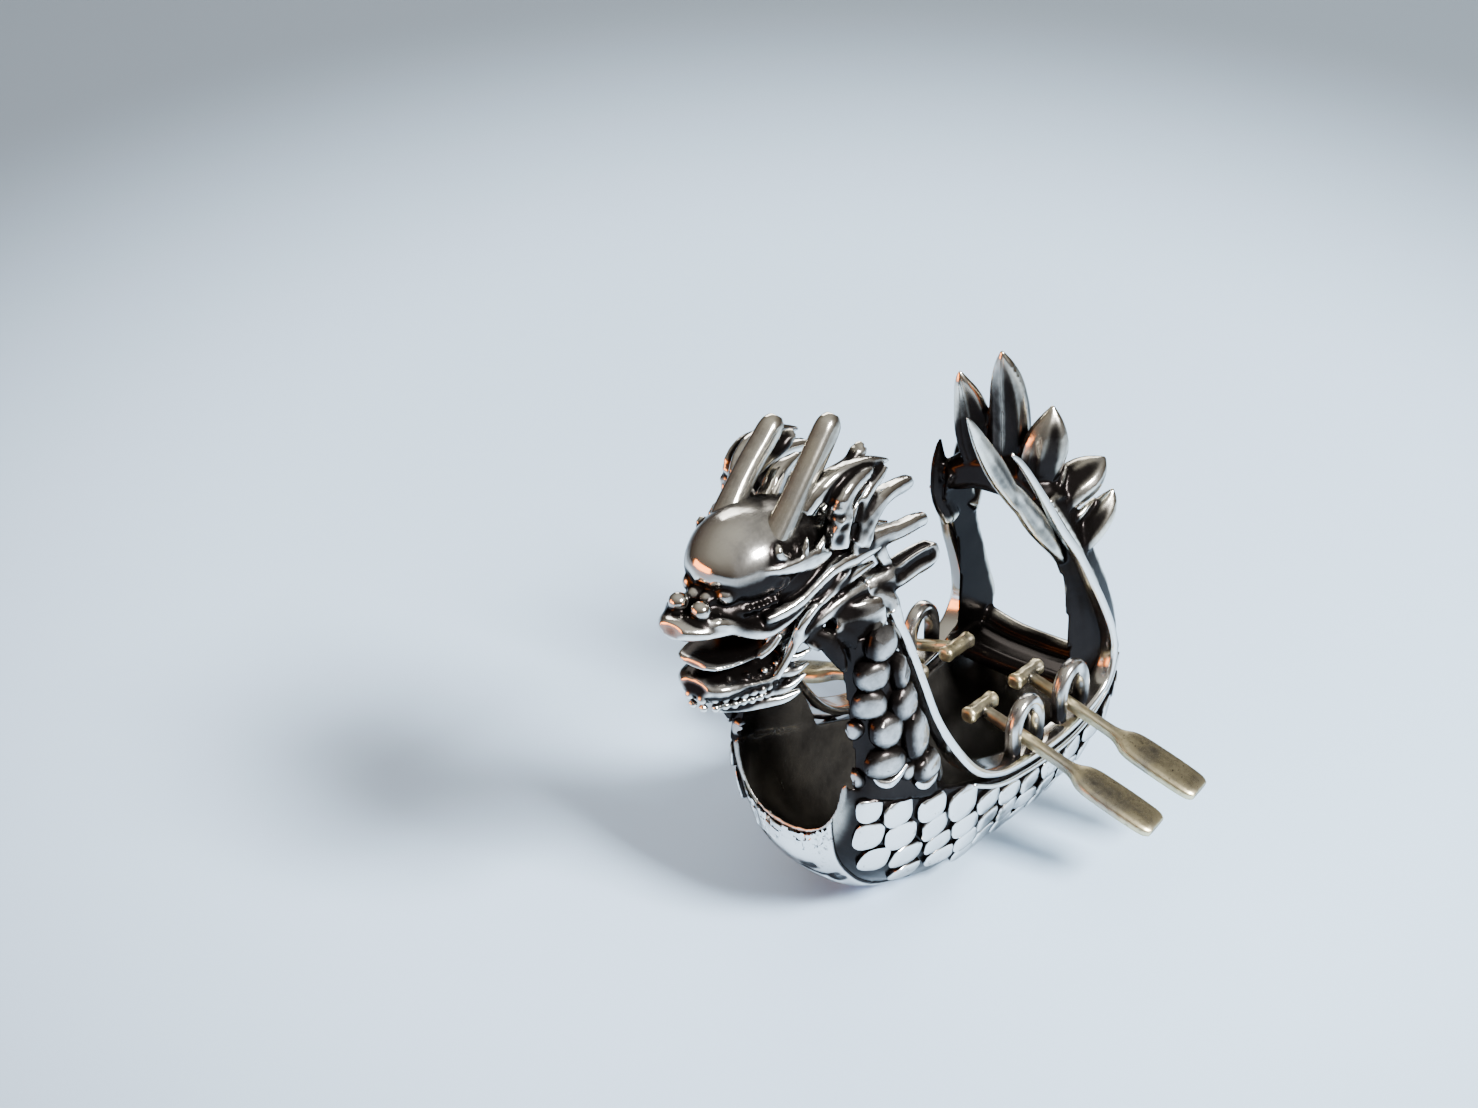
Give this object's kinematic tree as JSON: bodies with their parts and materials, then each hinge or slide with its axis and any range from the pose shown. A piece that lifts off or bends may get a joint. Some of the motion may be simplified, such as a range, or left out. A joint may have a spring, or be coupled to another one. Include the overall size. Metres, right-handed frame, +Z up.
{
  "type": "dragon boat charm",
  "caption": "Cast silver bead charm in the form of a dragon boat: open crescent hull, dragon head on a split neck, flared tail, and oars that rock in staples.",
  "frame": {"origin": "centre of the worn flat of the keel, on the surface that the boat stands on", "axes": "+Z up, the bow and the dragon's head towards -X, the starboard side towards +Y"},
  "size_m": [0.0218, 0.0172, 0.0204],
  "materials": {
    "hull_silver": "blackened sterling silver, relief rubbed bright",
    "neck_silver": "blackened sterling silver, scale tops rubbed bright",
    "stern_silver": "dull grey sterling silver",
    "head_silver": "polished sterling silver with black grooves",
    "flame_silver": "polished sterling silver with black grooves",
    "horn_silver": "polished sterling silver, slightly yellowed",
    "polished_rim": "polished sterling silver",
    "oar_silver": "worn sterling silver, slightly yellowed"
  },
  "bodies": {
    "boat": {"hull": "hull_silver", "neck_port": "neck_silver", "neck_starboard": "neck_silver", "stern_post_port": "stern_silver", "stern_post_starboard": "stern_silver", "stern_sill": "stern_silver", "tail_root": "stern_silver", "gunwale_fore_port": "polished_rim", "gunwale_fore_starboard": "polished_rim", "gunwale_mid_port": "polished_rim", "gunwale_mid_starboard": "polished_rim", "gunwale_aft_port": "polished_rim", "gunwale_aft_starboard": "polished_rim", "skull": "head_silver", "lower_jaw": "head_silver", "throat": "neck_silver", "tongue": "head_silver", "nose": "head_silver", "beard": "head_silver", "horn_port": "horn_silver", "horn_starboard": "horn_silver", "mane_upper_port": "flame_silver", "mane_upper_starboard": "flame_silver", "mane_middle_port": "flame_silver", "mane_middle_starboard": "flame_silver", "mane_lower_port": "flame_silver", "mane_lower_starboard": "flame_silver", "mane_nape_port": "flame_silver", "mane_nape_starboard": "flame_silver", "tail_fin_centre": "flame_silver", "tail_fin_upper_port": "flame_silver", "tail_fin_upper_starboard": "flame_silver", "tail_fin_middle_port": "flame_silver", "tail_fin_middle_starboard": "flame_silver", "tail_fin_lower_port": "flame_silver", "tail_fin_lower_starboard": "flame_silver", "tail_fin_inner_port": "flame_silver", "tail_fin_inner_starboard": "flame_silver", "oarlock_fore_port": "polished_rim", "oarlock_fore_starboard": "polished_rim", "oarlock_aft_port": "polished_rim", "oarlock_aft_starboard": "polished_rim"},
    "oar_fore_port": {"oar_fore_port": "oar_silver"},
    "oar_fore_starboard": {"oar_fore_starboard": "oar_silver"},
    "oar_aft_port": {"oar_aft_port": "oar_silver"},
    "oar_aft_starboard": {"oar_aft_starboard": "oar_silver"}
  },
  "joints": [
    {"name": "oar_fore_port_lift", "type": "hinge", "parent": "boat", "child": "oar_fore_port", "pos_m": [0.0027, -0.0033, 0.00508], "axis": [-1, 0, 0], "range_deg": [0, 40]},
    {"name": "oar_fore_starboard_lift", "type": "hinge", "parent": "boat", "child": "oar_fore_starboard", "pos_m": [0.0027, 0.0033, 0.00508], "axis": [1, 0, 0], "range_deg": [0, 40]},
    {"name": "oar_aft_port_lift", "type": "hinge", "parent": "boat", "child": "oar_aft_port", "pos_m": [0.0056, -0.0033, 0.0051], "axis": [-1, 0, 0], "range_deg": [0, 40]},
    {"name": "oar_aft_starboard_lift", "type": "hinge", "parent": "boat", "child": "oar_aft_starboard", "pos_m": [0.0056, 0.0033, 0.0051], "axis": [1, 0, 0], "range_deg": [0, 40]}
  ]
}
